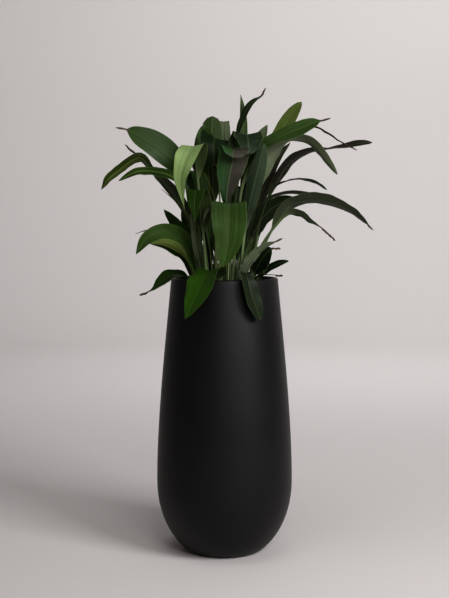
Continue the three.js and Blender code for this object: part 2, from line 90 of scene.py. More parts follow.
# --------------------
# The leaves, by the side of the plant that they grow to. Each has the foot of its stalk on the
# soil (x, y), the route of its midrib from there to its tip (x, y, z), the blade's full width, the
# share of the leaf that is stalk, and its tint. Some say more:
#   roll    the blade's roll about its midrib in degrees, evenly spaced from its base to its tip
#   shape   where along the blade it is widest, and how sharply it narrows from there
#   whip    the share of the blade that is a dried tip, narrow as a whip
#   dry     the share of the blade that has turned brown, from its tip
#   streak  how strongly it is streaked with yellow
#   ruffle  how uneven its edges are, as a share of its half width
# --------------------
LEAVES = {
    "front": [
        dict(foot=(8, -118), route=[(12, -122, 880), (13, -130, 964), (12, -146, 1003), (12, -164, 1011),
             (13, -178, 983), (13, -190, 928), (6, -196, 878), (-6, -198, 837)],
             width=98, stalk=0.45, roll=(0, 3, 0), shape=(0.4, 0.8), tint="green"),
        dict(foot=(-40, -50), route=[(-62, -66, 940), (-78, -88, 1110), (-84, -125, 1170),
             (-100, -162, 1145), (-112, -180, 1112), (-119, -184, 1079), (-116, -184, 1041),
             (-109, -180, 994)],
             width=76, stalk=0.5, shape=(0.4, 1.5), tint="fresh"),
        dict(foot=(-22, -92), route=[(-26, -108, 800), (-34, -134, 826), (-48, -162, 818), (-68, -180, 778),
             (-90, -184, 733), (-110, -180, 692)],
             width=110, stalk=0.12, roll=(-14, -2, 10), shape=(0.44, 1.15), tint="vivid", dry=0.03),
        dict(foot=(54, -98), route=[(58, -122, 800), (60, -145, 819), (64, -160, 802), (74, -165, 762),
             (87, -163, 725), (99, -158, 692)],
             width=51, stalk=0.2, shape=(0.6, 0.5), tint="painted_half_shade"),
        dict(foot=(-6, -26), route=[(-12, -35, 900), (-16, -42, 1060), (-24, -52, 1150), (-28, -72, 1197),
             (-30, -90, 1178), (-28, -96, 1118)],
             width=86, stalk=0.66, roll=(0, 15, 30, 0), shape=(0.5, 0.45), tint="painted_deep_shade", ruffle=0.15),
        dict(foot=(14, -4), route=[(26, -8, 950), (42, -14, 1110), (55, -28, 1187), (62, -62, 1208),
             (66, -96, 1188), (66, -112, 1148)],
             width=88, stalk=0.6, shape=(0.6, 0.5), tint="painted_shade_and_fill", ruffle=0.5),
        dict(foot=(-48, -84), route=[(-56, -92, 870), (-66, -106, 980), (-74, -122, 1040),
             (-78, -144, 1048), (-82, -160, 1010), (-80, -164, 960)],
             width=68, stalk=0.42, tint="deep"),
        dict(foot=(-10, -72), route=[(-16, -86, 860), (-24, -106, 950), (-36, -128, 998), (-50, -140, 988),
             (-60, -145, 958)],
             width=26, stalk=0.4, roll=(0, 20), tint="grey"),
        dict(foot=(90, -32), route=[(100, -46, 806), (107, -59, 846), (109, -70, 858), (111, -77, 838),
             (111, -79, 815)],
             width=36, stalk=0.36, shape=(0.5, 0.7), tint="painted_deep_shade"),
    ],
    "left": [
        dict(foot=(-54, 2), route=[(-78, 0, 950), (-110, -10, 1078), (-148, -25, 1138), (-194, -40, 1179),
             (-236, -50, 1202), (-274, -55, 1221), (-308, -58, 1227)],
             width=79, stalk=0.42, roll=(45, 75, 85), shape=(0.63, 0.6), whip=0.1, tint="deep"),
        dict(foot=(-66, 34), route=[(-84, 38, 920), (-125, 38, 1005), (-164, 34, 1048), (-198, 30, 1088),
             (-223, 27, 1124), (-242, 24, 1146), (-264, 21, 1141), (-300, 17, 1115), (-335, 12, 1086),
             (-357, 8, 1055)],
             width=58, stalk=0.48, roll=(15, 30, 35), shape=(0.66, 0.8), tint="olive", streak=0.8,
             ruffle=0.2),
        dict(foot=(-50, -32), route=[(-72, -50, 930), (-105, -67, 1050), (-148, -80, 1088),
             (-195, -90, 1101), (-238, -95, 1102), (-268, -97, 1091), (-296, -98, 1075)],
             width=56, stalk=0.4, roll=(20, 32, 32), shape=(0.5, 0.7), tint="deep", streak=0.5,
             ruffle=0.16),
        dict(foot=(-40, 40), route=[(-64, 64, 870), (-99, 74, 950), (-133, 80, 1027), (-172, 84, 1074),
             (-202, 84, 1104), (-254, 84, 1155), (-296, 84, 1190)],
             width=46, stalk=0.35, roll=(-50, -40), shape=(0.35, 0.8), whip=0.15, tint="grey"),
        dict(foot=(-76, 7), route=[(-88, 5, 880), (-108, -2, 960), (-140, -12, 1018), (-182, -12, 1056)],
             width=20, stalk=0.45, tint="deep"),
        dict(foot=(-64, -48), route=[(-86, -60, 847), (-115, -74, 908), (-148, -88, 930), (-184, -100, 931),
             (-219, -106, 912), (-248, -108, 871)],
             width=68, stalk=0.06, roll=(62, 42, 50), shape=(0.5, 0.85), tint="green"),
        dict(foot=(-86, -12), route=[(-98, -14, 836), (-118, -17, 870), (-147, -21, 889), (-180, -25, 900),
             (-214, -28, 899)],
             width=64, stalk=0.22, roll=(50, 42), shape=(0.5, 0.8), tint="striped"),
        dict(foot=(-53, 22), route=[(-67, 23, 850), (-92, 22, 897), (-122, 22, 931), (-150, 23, 963),
             (-177, 25, 997)],
             width=47, stalk=0.38, roll=(40, 50), shape=(0.5, 0.8), tint="deep"),
        dict(foot=(-36, 66), route=[(-50, 76, 842), (-78, 92, 885), (-106, 100, 917), (-134, 106, 946),
             (-160, 108, 976)],
             width=40, stalk=0.35, roll=(40, 50), shape=(0.5, 0.8), tint="deep"),
        dict(foot=(-90, -34), route=[(-106, -44, 793), (-128, -54, 812), (-157, -63, 808), (-182, -68, 790),
             (-201, -70, 772), (-220, -70, 761), (-243, -70, 754)],
             width=58, stalk=0.12, roll=(12, 28, 28), whip=0.15, tint="deep", ruffle=0.12),
        dict(foot=(-30, -8), route=[(-44, -11, 900), (-60, -12, 1040), (-67, -13, 1140), (-66, -13, 1195),
             (-57, -14, 1240)],
             width=46, stalk=0.15, roll=(90, 88), shape=(0.75, 0.5), tint="green"),
        dict(foot=(-68, -74), route=[(-70, -80, 830), (-80, -86, 900), (-90, -90, 950), (-95, -92, 984)],
             width=24, stalk=0.3, roll=(-80, -90), tint="grey"),
        dict(foot=(-86, 32), route=[(-112, 34, 842), (-146, 30, 904), (-187, 24, 929), (-226, 18, 936),
             (-260, 14, 927)],
             width=38, stalk=0.15, roll=(10, 10), tint="olive"),
    ],
    "right": [
        dict(foot=(62, -24), route=[(90, -31, 832), (110, -35, 884), (133, -39, 932), (160, -43, 980),
             (191, -46, 1011), (222, -49, 1021), (269, -52, 1024), (340, -56, 1003), (390, -58, 969),
             (424, -60, 939)],
             width=74, stalk=0.36, roll=(45, 22, 18), shape=(0.55, 0.6), whip=0.06, tint="grey",
             ruffle=0.12),
        dict(foot=(72, -52), route=[(85, -45, 850), (115, -56, 908), (150, -69, 955), (182, -76, 985),
             (208, -80, 985), (236, -83, 967), (278, -86, 941), (313, -88, 909)],
             width=30, stalk=0.58, roll=(45, 30), shape=(0.35, 0.9), whip=0.3, tint="grey", dry=0.4,
             ruffle=0.3),
        dict(foot=(46, 18), route=[(64, 23, 870), (98, 29, 954), (136, 27, 999), (174, 20, 1021),
             (208, 16, 1030)],
             width=74, stalk=0.4, roll=(50, 45), shape=(0.45, 0.7), tint="painted_deep_shade"),
        dict(foot=(58, 54), route=[(82, 62, 900), (121, 67, 1005), (152, 64, 1076), (193, 57, 1136),
             (243, 50, 1166), (303, 44, 1174), (354, 40, 1182), (400, 37, 1191), (431, 34, 1192)],
             width=56, stalk=0.42, roll=(60, 35, -5, -50), shape=(0.55, 0.6), tint="brown", ruffle=0.12),
        dict(foot=(36, -12), route=[(58, -16, 930), (84, -21, 1052), (108, -26, 1110), (128, -29, 1143),
             (150, -32, 1168), (186, -36, 1192), (218, -38, 1199), (246, -40, 1188), (270, -42, 1163),
             (292, -44, 1135), (321, -46, 1096)],
             width=60, stalk=0.42, roll=(75, 60, 8, 35, 45), shape=(0.35, 0.6), tint="ashen", ruffle=0.2),
        dict(foot=(20, -34), route=[(34, -50, 930), (55, -58, 1080), (85, -64, 1150), (125, -70, 1184),
             (168, -74, 1204), (212, -76, 1221), (260, -78, 1241), (298, -79, 1252)],
             width=74, stalk=0.48, roll=(-30, -44), shape=(0.72, 0.5), whip=0.1, tint="green"),
        dict(foot=(34, 32), route=[(56, 34, 930), (90, 33, 1080), (128, 28, 1160), (176, 20, 1211),
             (226, 14, 1236), (262, 9, 1238), (303, 5, 1216), (343, 2, 1190), (383, 0, 1168)],
             width=38, stalk=0.42, roll=(-10, -10), whip=0.42, tint="deep", dry=0.42),
        dict(foot=(18, 58), route=[(38, 76, 930), (70, 86, 1080), (118, 92, 1160), (158, 94, 1209),
             (182, 93, 1249), (204, 90, 1284), (228, 86, 1316)],
             width=50, stalk=0.45, roll=(-50, -62), shape=(0.7, 0.6), tint="moss"),
        dict(foot=(68, 0), route=[(90, -10, 900), (113, -16, 1000), (140, -18, 1057), (175, -18, 1077),
             (215, -16, 1084), (260, -14, 1074), (295, -12, 1053)],
             width=38, stalk=0.4, roll=(65, 10, -10, -25), shape=(0.72, 0.5), tint="painted_deep_shade", ruffle=0.25),
        dict(foot=(38, -94), route=[(50, -100, 812), (78, -108, 862), (112, -113, 893), (142, -116, 906),
             (162, -118, 916)],
             width=32, stalk=0.06, roll=(60, 40), shape=(0.44, 0.7), whip=0.1, tint="faded", ruffle=0.3),
        dict(foot=(64, -62), route=[(88, -82, 822), (110, -92, 862), (132, -96, 885), (158, -96, 886)],
             width=60, stalk=0.3, roll=(-78, -70), shape=(0.55, 0.7), whip=0.2, tint="painted_deep_shade", ruffle=0.3),
        dict(foot=(94, -12), route=[(108, -22, 808), (134, -36, 831), (158, -44, 843), (184, -48, 850)],
             width=30, stalk=0.22, roll=(-50, -50), shape=(0.5, 0.7), tint="painted_deep_shade"),
        dict(foot=(76, -78), route=[(86, -90, 801), (108, -98, 812), (136, -100, 813), (165, -98, 810)],
             width=26, stalk=0.15, roll=(10, 0), whip=0.2, tint="painted_deep_shade", ruffle=0.3),
        dict(foot=(28, 4), route=[(43, 0, 890), (69, -6, 1020), (88, -8, 1100), (98, -9, 1148)],
             width=54, stalk=0.2, roll=(78, 85), shape=(0.5, 1), tint="painted_deep_shade"),
        dict(foot=(48, 82), route=[(70, 92, 900), (100, 98, 1010), (123, 98, 1076), (141, 96, 1120),
             (166, 92, 1163), (196, 88, 1196)],
             width=46, stalk=0.35, roll=(62, 62), shape=(0.45, 0.8), tint="brown"),
        dict(foot=(84, 44), route=[(95, 56, 900), (110, 57, 985), (133, 46, 1028), (174, 38, 1044),
             (225, 30, 1044), (285, 23, 1034), (335, 17, 1006)],
             width=34, stalk=0.47, roll=(15, 20), tint="grey"),
    ],
    "top": [
        dict(foot=(4, 76), route=[(22, 78, 950), (44, 78, 1120), (56, 78, 1222), (56, 76, 1278),
             (48, 74, 1336)],
             width=30, stalk=0.4, roll=(60, 60), shape=(0.64, 1), tint="deep"),
        dict(foot=(-10, 42), route=[(12, 46, 950), (30, 48, 1120), (41, 48, 1230), (53, 46, 1262),
             (66, 45, 1291), (78, 44, 1307), (90, 43, 1317), (107, 42, 1327), (121, 40, 1351)],
             width=22, stalk=0.6, roll=(-60, -60), shape=(0.7, 0.9), whip=0.12, tint="painted_half_shade", ruffle=0.15),
        dict(foot=(4, -92), route=[(6, -95, 900), (4, -99, 1010), (14, -105, 1090), (24, -110, 1135),
             (28, -126, 1160), (25, -143, 1155), (22, -153, 1137)],
             width=90, stalk=0.5, roll=(0, 5), shape=(0.74, 0.45), tint="split", ruffle=0.12),
        dict(foot=(-26, 16), route=[(-28, 12, 900), (-32, 6, 1040), (-38, 2, 1130), (-39, 0, 1190),
             (-37, 2, 1232), (-34, 8, 1266)],
             width=70, stalk=0.5, roll=(-45, -40), shape=(0.62, 0.38), tint="deep"),
        dict(foot=(18, -58), route=[(20, -48, 900), (17, -34, 1040), (-5, -28, 1125), (-26, -26, 1180),
             (-46, -24, 1218), (-63, -23, 1244)],
             width=32, stalk=0.45, roll=(85, 85), tint="deep"),
        dict(foot=(0, 26), route=[(1, 27, 900), (0, 27, 1050), (0, 26, 1150), (-3, 28, 1215),
             (-2, 46, 1252), (-1, 80, 1251), (-1, 112, 1222)],
             width=36, stalk=0.45, shape=(0.6, 0.7), tint="grey"),
        dict(foot=(17, 10), route=[(16, 8, 900), (16, 6, 1050), (16, 6, 1160), (15, 6, 1241)],
             width=22, stalk=0.5, roll=(90, 90), tint="grey"),
        dict(foot=(24, 92), route=[(44, 106, 950), (68, 112, 1090), (90, 114, 1168), (108, 112, 1213),
             (128, 110, 1251)],
             width=50, stalk=0.45, roll=(-80, -80), shape=(0.6, 0.8), tint="grey"),
        dict(foot=(44, -66), route=[(53, -84, 900), (71, -98, 1020), (90, -108, 1100), (102, -112, 1148),
             (109, -110, 1180)],
             width=54, stalk=0.4, roll=(88, 88), shape=(0.6, 0.6), tint="blue"),
        dict(foot=(-22, -50), route=[(-24, -64, 900), (-28, -80, 1000), (-38, -96, 1052),
             (-60, -108, 1104)],
             width=26, stalk=0.4, roll=(40, 40), tint="gold", streak=1),
    ],
    "back": [
        dict(foot=(-20, 90), route=[(-46, 108, 930), (-66, 134, 1060), (-84, 172, 1116), (-96, 215, 1095),
             (-104, 245, 1030), (-106, 256, 960)],
             width=72, stalk=0.2, tint="green"),
        dict(foot=(30, 108), route=[(38, 137, 930), (52, 165, 1030), (62, 208, 1070), (70, 250, 1040),
             (76, 275, 980), (78, 282, 915)],
             width=90, stalk=0.4, tint="deep"),
        dict(foot=(-54, 84), route=[(-68, 108, 880), (-82, 138, 965), (-98, 176, 1000), (-112, 210, 975),
             (-120, 230, 915)],
             width=72, stalk=0.38, roll=(0, 5), tint="deep"),
        dict(foot=(64, 98), route=[(70, 120, 870), (80, 146, 950), (92, 174, 984), (104, 202, 960),
             (106, 218, 905)],
             width=68, stalk=0.2, roll=(0, -5), tint="green"),
        dict(foot=(4, 114), route=[(2, 140, 850), (-2, 180, 910), (-6, 225, 920), (-8, 262, 876),
             (-8, 280, 812)],
             width=84, stalk=0.32, tint="green"),
        dict(foot=(-84, 58), route=[(-94, 84, 835), (-100, 120, 876), (-104, 160, 880), (-108, 192, 846),
             (-110, 214, 795)],
             width=64, stalk=0.32, tint="deep"),
        dict(foot=(94, 44), route=[(104, 70, 828), (112, 106, 864), (116, 148, 867), (114, 182, 838),
             (110, 200, 792)],
             width=50, stalk=0.32, tint="olive"),
        dict(foot=(-20, 114), route=[(-30, 136, 812), (-44, 168, 832), (-58, 202, 814), (-68, 222, 766),
             (-72, 230, 715)],
             width=70, stalk=0.15, tint="deep"),
        dict(foot=(-44, 62), route=[(-47, 64, 830), (-50, 66, 900), (-53, 66, 962)],
             width=32, stalk=0.12, roll=(90, 90), shape=(0.5, 0.8), tint="painted_deep_shade"),
    ],
}

# The tints of the leaves: their upper side, their underside, and how much they shine. Some are darker
# copies of the leaf green, which paint the shade that falls on leaves deep in the plant. Where a blade has
# two colours, the side colour lies beyond the border, which is -1 at one edge of the blade, 0 at its midrib
# and 1 at the other edge.
TINTS = {
    # The underside is darkened with painted shade, where the blade rises in the plant's shade
    "fresh": dict(upper=(0.182, 0.258, 0.096), under=(0.045, 0.070, 0.018), shine=0.2),
    "green": dict(upper=(0.026, 0.051, 0.010), under=(0.036, 0.056, 0.018), shine=0.09),
    "vivid": dict(upper=(0.027, 0.072, 0.006), under=(0.034, 0.054, 0.014), shine=0.08),
    "deep": dict(upper=(0.015, 0.034, 0.004), under=(0.024, 0.038, 0.010), shine=0.1),
    # Painted shade: a darker copy of the leaf green, for leaves that hang in shade
    "painted_half_shade": dict(upper=(0.0095, 0.0155, 0.006), under=(0.020, 0.030, 0.013), shine=0.1),
    # Painted shade on the upper side, and a painted fill of light on the underside, for a leaf deep in
    # shade
    "painted_shade_and_fill": dict(upper=(0.010, 0.017, 0.007), under=(0.080, 0.120, 0.050), shine=0.1),
    # Painted shade: the darkest copy of the leaf green, for leaves deep in the plant's shade
    "painted_deep_shade": dict(upper=(0.005, 0.010, 0.003), under=(0.009, 0.014, 0.005), shine=0.05),
    "blue": dict(upper=(0.020, 0.042, 0.016), under=(0.034, 0.050, 0.028), shine=0.18),
    "grey": dict(upper=(0.058, 0.072, 0.037), under=(0.046, 0.057, 0.030), shine=0.14),
    "olive": dict(upper=(0.030, 0.050, 0.006), under=(0.040, 0.054, 0.014), shine=0.12),
    "moss": dict(upper=(0.066, 0.090, 0.020), under=(0.060, 0.078, 0.026), shine=0.12),
    "faded": dict(upper=(0.072, 0.088, 0.050), under=(0.070, 0.084, 0.052), shine=0.14),
    "ashen": dict(upper=(0.130, 0.156, 0.090), under=(0.125, 0.150, 0.088), shine=0.16),
    "gold": dict(upper=(0.130, 0.150, 0.010), under=(0.120, 0.135, 0.020), shine=0.14),
    "brown": dict(upper=(0.015, 0.013, 0.008), under=(0.022, 0.020, 0.013), shine=0.08),
    "split": dict(upper=(0.017, 0.046, 0.012), under=(0.020, 0.050, 0.014), shine=0.12,
                  side=(0.027, 0.024, 0.017), border=-0.1),
    "striped": dict(upper=(0.420, 0.540, 0.140), under=(0.360, 0.460, 0.120), shine=0.12,
                    side=(0.024, 0.056, 0.006), border=0.4),
}


# --------------------
# Nodes
# --------------------
class Value:
    """An output of a node. Arithmetic on it adds the Math or Vector Math node that works it out."""

    def __init__(self, nodes, socket):
        self.nodes = nodes
        self.socket = socket

    def other(self, name):
        """Another output of the same node."""
        return Value(self.nodes, Nodes.pick(self.socket.node.outputs, name))

    def parts(self):
        """The three numbers of a vector."""
        apart = self.nodes.add("ShaderNodeSeparateXYZ", {}, {"Vector": self})
        return apart, apart.other("Y"), apart.other("Z")

    def __add__(self, other):
        return self.nodes.math("ADD", self, other)

    def __radd__(self, other):
        return self.nodes.math("ADD", other, self)

    def __sub__(self, other):
        return self.nodes.math("SUBTRACT", self, other)

    def __rsub__(self, other):
        return self.nodes.math("SUBTRACT", other, self)

    def __mul__(self, other):
        return self.nodes.math("MULTIPLY", self, other)

    def __rmul__(self, other):
        return self.nodes.math("MULTIPLY", other, self)

    def __truediv__(self, other):
        return self.nodes.math("DIVIDE", self, other)

    def __pow__(self, other):
        return self.nodes.math("POWER", self, other)


def is_vector(thing):
    if isinstance(thing, Value):
        return thing.socket.type in ("VECTOR", "RGBA")
    return not isinstance(thing, (int, float))


class Nodes:
    """The node tree of a material or of a shape."""

    def __init__(self, tree):
        self.tree = tree

    @staticmethod
    def pick(sockets, key):
        """A socket by its number, or by its name among those in use."""
        if isinstance(key, int):
            return sockets[key]
        return next(socket for socket in sockets if socket.name == key and socket.enabled)

    def add(self, kind, settings=None, values=None, output=0):
        """Adds a node of this kind, sets it, feeds its sockets, and gives one of its outputs."""
        node = self.tree.nodes.new(kind)
        for name, setting in (settings or {}).items():
            setattr(node, name, setting)
        for key, value in (values or {}).items():
            socket = self.pick(node.inputs, key)
            if isinstance(value, Value):
                self.tree.links.new(value.socket, socket)
            elif socket.type == "RGBA":
                socket.default_value = (*value, 1)
            else:
                socket.default_value = value
        return Value(self, self.pick(node.outputs, output))

    def math(self, operation, *terms):
        """The operation on numbers, or on vectors where any term is one."""
        vectors = [is_vector(term) for term in terms]
        if not any(vectors):
            return self.add("ShaderNodeMath", {"operation": operation}, dict(enumerate(terms)))
        if operation == "MULTIPLY" and not all(vectors):
            arrow, size = terms if vectors[0] else terms[::-1]
            return self.add("ShaderNodeVectorMath", {"operation": "SCALE"}, {0: arrow, "Scale": size})
        return self.add("ShaderNodeVectorMath", {"operation": operation}, dict(enumerate(terms)))

    def dot(self, a, b):
        return self.add("ShaderNodeVectorMath", {"operation": "DOT_PRODUCT"}, {0: a, 1: b}, "Value")

    def clamp(self, value):
        return self.add("ShaderNodeClamp", {}, {"Value": value})

    def size(self, value):
        """The value without its sign."""
        return self.math("ABSOLUTE", value)

    def larger(self, a, b):
        return self.math("MAXIMUM", a, b)

    def over(self, value, least):
        """1 where the value is more than this, and 0 elsewhere."""
        return self.math("GREATER_THAN", value, least)

    def smooth(self, value, low, high):
        """Rises smoothly from 0 to 1 as the value goes from low to high."""
        ends = {"Value": value, "From Min": low, "From Max": high}
        return self.add("ShaderNodeMapRange", {"interpolation_type": "SMOOTHSTEP"}, ends)

    def blend(self, share, a, b, how="MIX"):
        """Colour a turning into colour b as the share goes from 0 to 1."""
        settings = {"data_type": "RGBA", "blend_type": how}
        return self.add("ShaderNodeMix", settings, {"Factor": share, "A": a, "B": b}, "Result")

    def shade(self, colour, tone):
        """A colour made darker or lighter by a tone."""
        grey = self.add("ShaderNodeCombineColor", {}, {"Red": tone, "Green": tone, "Blue": tone})
        return self.blend(1.0, colour, grey, "MULTIPLY")

    def place(self):
        """Where a point of the piece is, in metres from the middle of the planter's foot."""
        return self.add("ShaderNodeTexCoord", {}, {}, "Object")

    def attribute(self, name):
        return self.add("ShaderNodeAttribute", {"attribute_name": name}, {}, "Fac")

    def noise(self, vector, scale, detail=2.0):
        return self.add("ShaderNodeTexNoise", {}, {"Vector": vector, "Scale": scale, "Detail": detail})

    def bump(self, height, strength, depth, under=None):
        """Relief of this depth in millimetres, on top of the relief under it."""
        values = {"Strength": strength, "Distance": depth * MM, "Height": height}
        if under:
            values["Normal"] = under
        return self.add("ShaderNodeBump", {}, values)


def mix(a, b, share):
    return a + (b - a) * share


# --------------------
# Finishes
# --------------------
def new_material(name):
    material = bpy.data.materials.new(name)
    material.use_nodes = True
    material.node_tree.nodes.clear()
    return material, Nodes(material.node_tree)


def finish_surface(nodes, values):
    """Ends a material in a Principled shader with these values."""
    shader = nodes.add("ShaderNodeBsdfPrincipled", {}, values)
    out = nodes.tree.nodes.new("ShaderNodeOutputMaterial")
    nodes.tree.links.new(shader.socket, out.inputs["Surface"])


STALK_COLOUR = (0.12, 0.16, 0.07)
VEIN_COLOUR = (0.10, 0.15, 0.05)
DRY_COLOUR = (0.055, 0.038, 0.024)
STREAK_COLOUR = (0.26, 0.33, 0.08)
STREAK_STRENGTH = 0.6
VEINS_ABOVE = (0.7, 1.3)  # the darkest and the lightest that the veins make a blade
VEINS_BELOW = (0.68, 1.32)
SIDE_BLEND = 0.1  # to each side of the border between a blade's two colours
BASE_PAINTED_SHADE = 0.62  # painted shade: the tone of a blade's base, darkened where it stands deep in the plant
MIDRIB_LINE = (0.6, 1.6)  # how far from the middle the pale line starts to fade, and ends
MIDRIB_PALE = (0.35, 0.75)  # how pale it is above and below
MARGIN_LINE = (0.94, 0.99)  # where the pale edge starts and is full
MARGIN_PALE = 0.6
LEAF_ROUGHNESS = (0.46, 0.58)  # above and below
PATTERN_SHIFT = 7.3  # between the patterns of two leaves


def leaf_finish(name, upper, under, shine, side=None, border=0):
    """A waxy leaf with parallel veins: deep above, paler and duller below, dried brown at its tip."""
    material, n = new_material(name)
    across = n.attribute("across")
    along = n.attribute("along")
    number = n.attribute("leaf")
    dry = n.attribute("dry")
    below = n.smooth(n.attribute("underside"), 0.4, 0.6)
    place = n.place()

    def lines(across_scale, along_scale, seed):
        """Uneven lines that run along the blade."""
        where = {"X": across * across_scale, "Y": along * along_scale, "Z": number * PATTERN_SHIFT + seed}
        return n.noise(n.add("ShaderNodeCombineXYZ", {}, where), 1.0)

    fine = lines(across_scale=26.0, along_scale=1.2, seed=0.0)
    broad = lines(across_scale=7.0, along_scale=0.7, seed=31.0)
    bands = lines(across_scale=3.4, along_scale=0.35, seed=57.0)
    mottle = n.noise(place, 38.0, 3.0)
    clouds = n.noise(place + Vector((3.1, 0.7, 5.2)), 9.0, 1.0)

    veins = n.smooth(fine * 0.7 + broad * 0.3, 0.34, 0.68)

    def veined(colour, tones):
        darker, lighter = ([part * tone for part in colour] for tone in tones)
        return n.blend(veins, darker, lighter)

    # The blade on its two sides, with painted shade that darkens it near its base
    colour = n.blend(below, veined(upper, VEINS_ABOVE), veined(under, VEINS_BELOW))
    if side:
        past_border = n.smooth(across, border - SIDE_BLEND, border + SIDE_BLEND)
        colour = n.blend(past_border, colour, side)
    # Painted shade: each blade darkens towards its base, where the plant's own leaves shade it
    painted_base_shade = mix(BASE_PAINTED_SHADE, 1, n.smooth(along, 0.1, 0.6))
    colour = n.shade(colour, (0.72 + clouds * 0.34 + mottle * 0.26) * painted_base_shade)

    # Yellow streaks, most of them beside the midrib
    beside_midrib = 1 - n.smooth(n.size(across), 0.04, 0.34)
    streaks = n.larger(beside_midrib, n.smooth(bands, 0.56, 0.66)) * n.smooth(fine, 0.35, 0.6)
    streaks = streaks * n.attribute("streak") * STREAK_STRENGTH
    colour = n.blend(streaks, colour, STREAK_COLOUR)

    # A pale midrib, which shows most on the underside, and pale edges
    from_midrib = n.size(across * n.attribute("half_width"))
    rib = 1 - n.smooth(from_midrib, *(edge * MM for edge in MIDRIB_LINE))
    rib = rib * mix(*MIDRIB_PALE, below)
    margin = n.smooth(n.size(across), *MARGIN_LINE) * MARGIN_PALE
    pale = [mix(leaf, vein, 0.55) for leaf, vein in zip(under, VEIN_COLOUR)]
    colour = n.blend(n.larger(rib, margin), colour, pale)

    # The stalk, and the dried tip
    on_stalk = 1 - n.smooth(along, -0.08, 0.16)
    colour = n.blend(on_stalk * 0.8, colour, STALK_COLOUR)
    withered = n.smooth(along + (mottle - 0.5) * 0.16, 1 - dry, 1.02 - dry * 0.7)
    colour = n.blend(withered, colour, DRY_COLOUR)

    roughness = mix(*LEAF_ROUGHNESS, below) + (mottle - 0.5) * 0.18
    roughness = roughness + on_stalk * 0.08 + withered * 0.25
    ribs = n.bump(fine * 0.6 + broad + rib * 0.5, strength=0.35, depth=0.6)
    cells = n.bump(n.noise(place, 420.0), strength=0.15, depth=0.4, under=ribs)
    finish_surface(n, {
        "Base Color": colour,
        "Roughness": roughness,
        "Specular IOR Level": shine,
        "Normal": cells,
    })
    return material


PLANTER_BLACK = (0.0036, 0.0033, 0.0033)
PLANTER_BLOOM = (0.0050, 0.0046, 0.0046)  # its lighter patches
PLANTER_ROUGHNESS = 0.46
PLANTER_SHINE = 0.25


def planter_finish():
    """Smooth matt black, a little cloudy, with a fine sandy grain."""
    material, n = new_material("matt_black")
    place = n.place()
    grain = n.noise(place, 900.0)
    clouds = n.noise(place, 7.0, 3.0)
    pits = n.noise(place, 160.0)
    patches = n.smooth(clouds * 0.7 + grain * 0.3, 0.3, 0.7)
    finish_surface(n, {
        "Base Color": n.blend(patches, PLANTER_BLACK, PLANTER_BLOOM),
        "Roughness": PLANTER_ROUGHNESS + (clouds - 0.5) * 0.08 + (grain - 0.5) * 0.06,
        "Specular IOR Level": PLANTER_SHINE,
        "Normal": n.bump(grain * 0.5 + pits * 0.5, strength=0.12, depth=0.5),
    })
    return material


SOIL_DARK = (0.010, 0.007, 0.005)
SOIL_LIGHT = (0.040, 0.026, 0.017)
SOIL_ROUGHNESS = 0.9


def soil_finish():
    """Damp potting soil."""
    material, n = new_material("potting_soil")
    place = n.place()
    lumps = n.noise(place, 120.0, 4.0)
    bits = n.noise(place, 420.0)
    finish_surface(n, {
        "Base Color": n.blend(n.smooth(lumps, 0.35, 0.7), SOIL_DARK, SOIL_LIGHT),
        "Roughness": SOIL_ROUGHNESS + (bits - 0.5) * 0.1,
        "Normal": n.bump(lumps + bits * 0.4, strength=0.8, depth=3),
    })
    return material


STAGE_COLOUR = (0.54, 0.505, 0.49)
STAGE_ROUGHNESS = 0.8


def stage_finish():
    """The pale, even paint of the studio."""
    material, n = new_material("pale_floor")
    finish_surface(n, {"Base Color": STAGE_COLOUR, "Roughness": STAGE_ROUGHNESS})
    return material


# --------------------
# Trees that make shapes
# --------------------
def new_tree(name, inputs, output):
    """A shape's tree with these inputs, its nodes, and the inputs by their names in lower case."""
    tree = bpy.data.node_groups.new(name, "GeometryNodeTree")
    for label, kind in inputs.items():
        tree.interface.new_socket(label, in_out="INPUT", socket_type=f"NodeSocket{kind}")
    tree.interface.new_socket(output, in_out="OUTPUT", socket_type="NodeSocketGeometry")
    n = Nodes(tree)
    given = n.add("NodeGroupInput")
    return tree, n, SimpleNamespace(**{label.lower(): given.other(label) for label in inputs})


def finish_tree(n, shape, finish):
    """Ends a shape's tree in real faces with their material."""
    shape = n.add("GeometryNodeRealizeInstances", {}, {"Geometry": shape})
    shape = n.add("GeometryNodeSetMaterial", {}, {"Geometry": shape, "Material": finish})
    out = n.tree.nodes.new("NodeGroupOutput")
    n.tree.links.new(shape.socket, out.inputs[0])


def grow(thing, tree, values):
    """Gives an object a shape's tree, with its inputs set by their identifiers."""
    modifier = thing.modifiers.new("shape", "NODES")
    modifier.node_group = tree
    for item in tree.interface.items_tree:
        if item.item_type == "SOCKET" and item.in_out == "INPUT" and item.name in values:
            modifier[item.identifier] = values[item.name]


def settle(name, thing):
    """Turns what an object's tree makes into a plain mesh, and removes the object."""
    evaluated = thing.evaluated_get(bpy.context.evaluated_depsgraph_get())
    mesh = bpy.data.meshes.new_from_object(evaluated)
    mesh.name = name
    piece = bpy.data.objects.new(name, mesh)
    bpy.context.collection.objects.link(piece)
    bpy.data.objects.remove(thing)
    return piece


